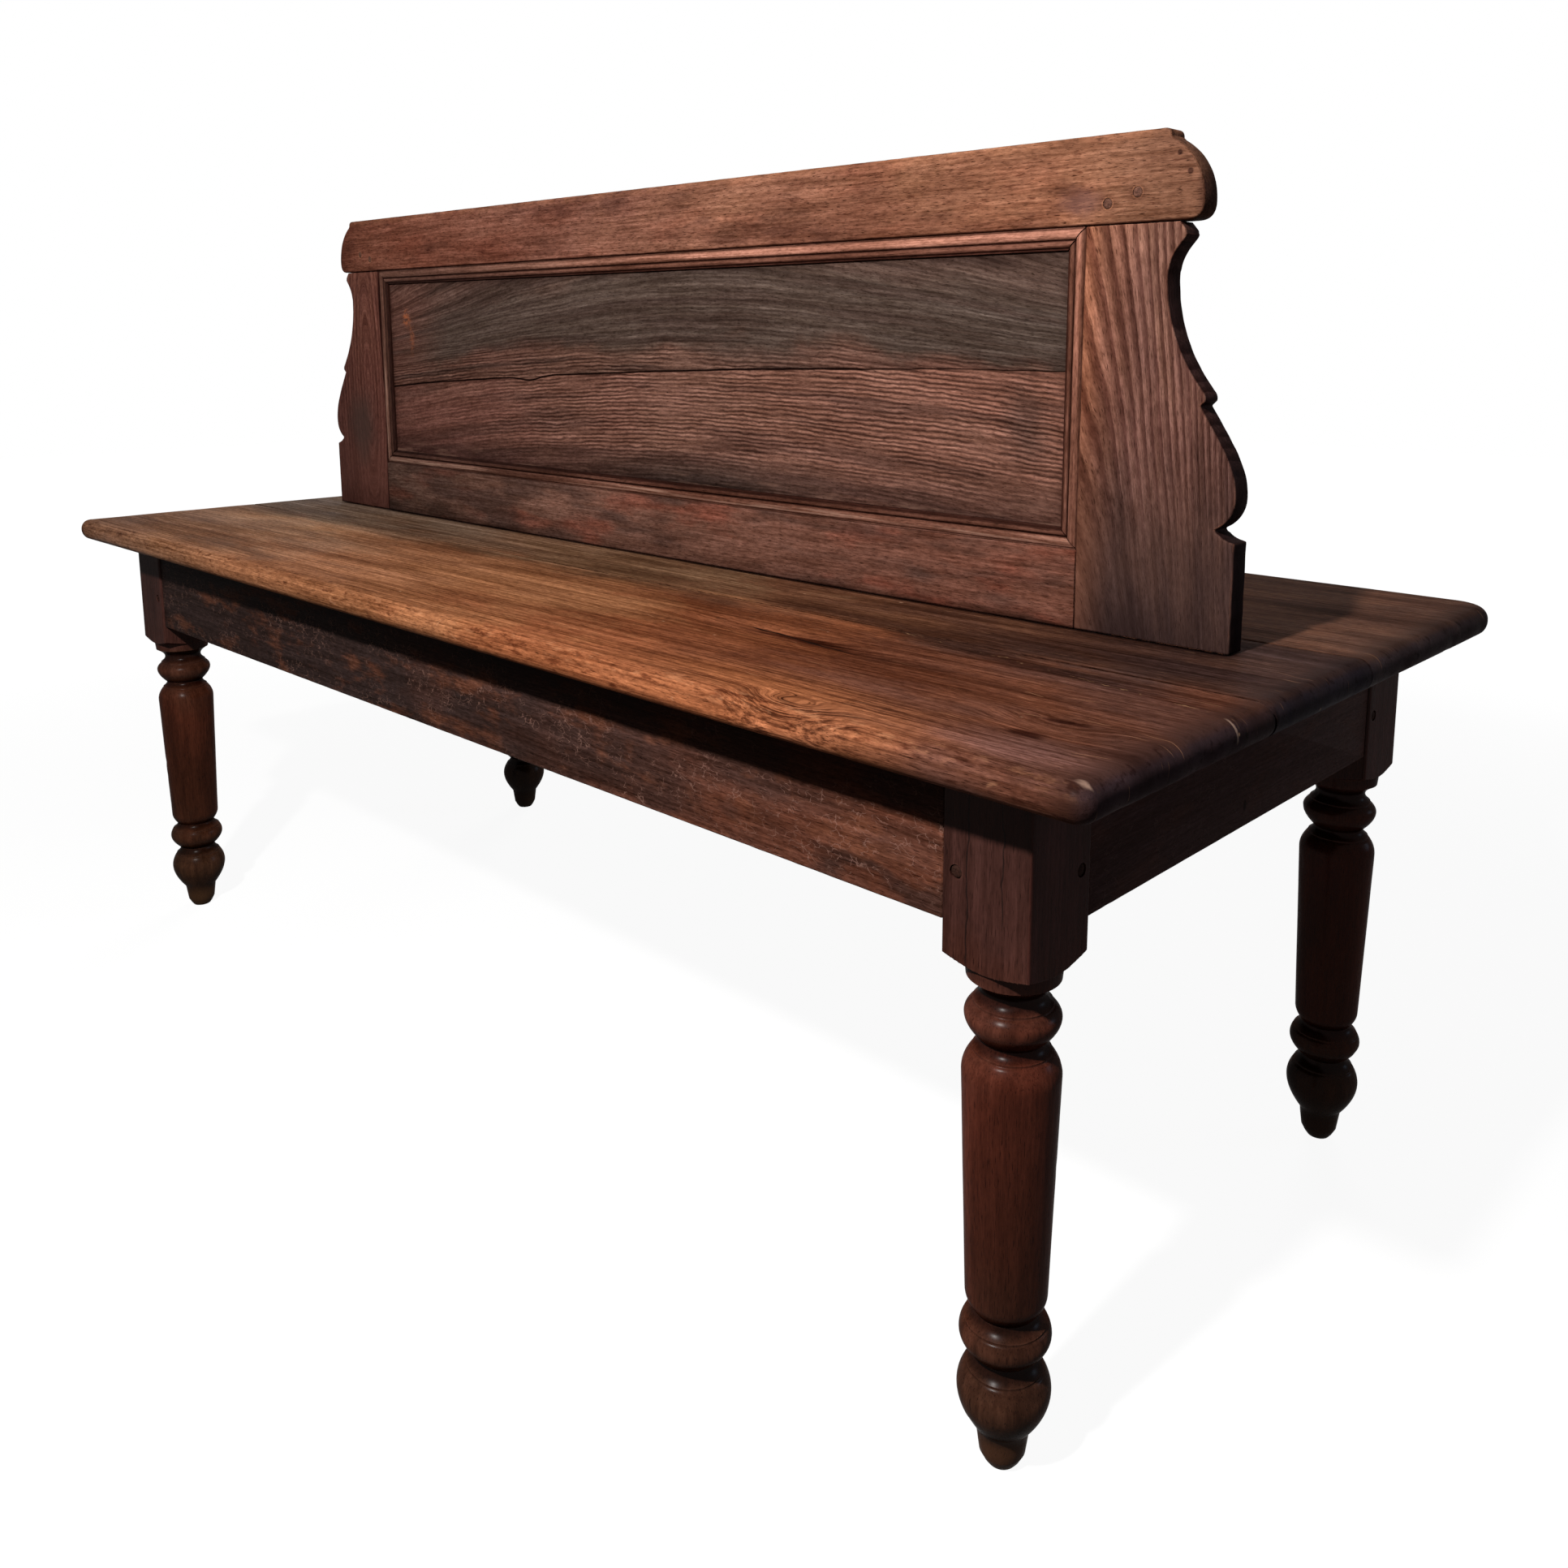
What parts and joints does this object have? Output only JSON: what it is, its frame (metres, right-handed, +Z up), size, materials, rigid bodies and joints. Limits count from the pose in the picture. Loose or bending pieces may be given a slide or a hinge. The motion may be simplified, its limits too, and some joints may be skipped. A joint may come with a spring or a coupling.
{
  "type": "double-sided panelled bench",
  "caption": "Table-like wooden bench with turned legs and a fixed panelled back with scroll-sawn ends standing along the middle of the seat, for sitting on either side",
  "frame": {"origin": "on the floor under the middle of the seat", "axes": "+X along the bench to its right end, +Y to the rear, +Z up"},
  "size_m": [1.31, 0.588, 0.784],
  "materials": {
    "seat_oak": "worn wax",
    "frame_oak": "dark stain and wax",
    "leg_oak": "dark stain and polish",
    "back_oak": "dark stain and wax",
    "panel_oak": "dark stain, dull",
    "peg_oak": "end grain, dull",
    "hidden_oak": "bare, unfinished"
  },
  "bodies": {
    "root": {"leg_front_left": "leg_oak", "leg_peg_front_left_a": "peg_oak", "leg_peg_front_left_b": "peg_oak", "leg_front_right": "leg_oak", "leg_peg_front_right_a": "peg_oak", "leg_peg_front_right_b": "peg_oak", "leg_rear_right": "leg_oak", "leg_peg_rear_right_a": "peg_oak", "leg_peg_rear_right_b": "peg_oak", "leg_rear_left": "leg_oak", "leg_peg_rear_left_a": "peg_oak", "leg_peg_rear_left_b": "peg_oak", "apron_front": "frame_oak", "apron_rear": "frame_oak", "apron_right": "frame_oak", "apron_left": "frame_oak", "seat_plank_front": "seat_oak", "seat_plank_middle": "seat_oak", "seat_plank_rear": "seat_oak", "seat_bearer_left": "hidden_oak", "seat_bearer_middle": "hidden_oak", "seat_bearer_right": "hidden_oak", "glue_block_front_1": "hidden_oak", "glue_block_front_2": "hidden_oak", "glue_block_rear_1": "hidden_oak", "glue_block_rear_2": "hidden_oak", "glue_block_right_1": "hidden_oak", "glue_block_right_2": "hidden_oak", "glue_block_left_1": "hidden_oak", "glue_block_left_2": "hidden_oak", "back_stile_left": "back_oak", "back_peg_left_1": "peg_oak", "back_peg_left_2": "peg_oak", "foot_peg_left": "peg_oak", "back_stile_right": "back_oak", "back_peg_right_1": "peg_oak", "back_peg_right_2": "peg_oak", "foot_peg_right": "peg_oak", "back_top_rail": "back_oak", "back_bottom_rail": "back_oak", "back_panel_lower": "panel_oak", "back_panel_upper": "panel_oak", "moulding_front_bottom": "back_oak", "moulding_front_right": "back_oak", "moulding_front_top": "back_oak", "moulding_front_left": "back_oak", "moulding_rear_bottom": "back_oak", "moulding_rear_right": "back_oak", "moulding_rear_top": "back_oak", "moulding_rear_left": "back_oak"}
  },
  "joints": []
}
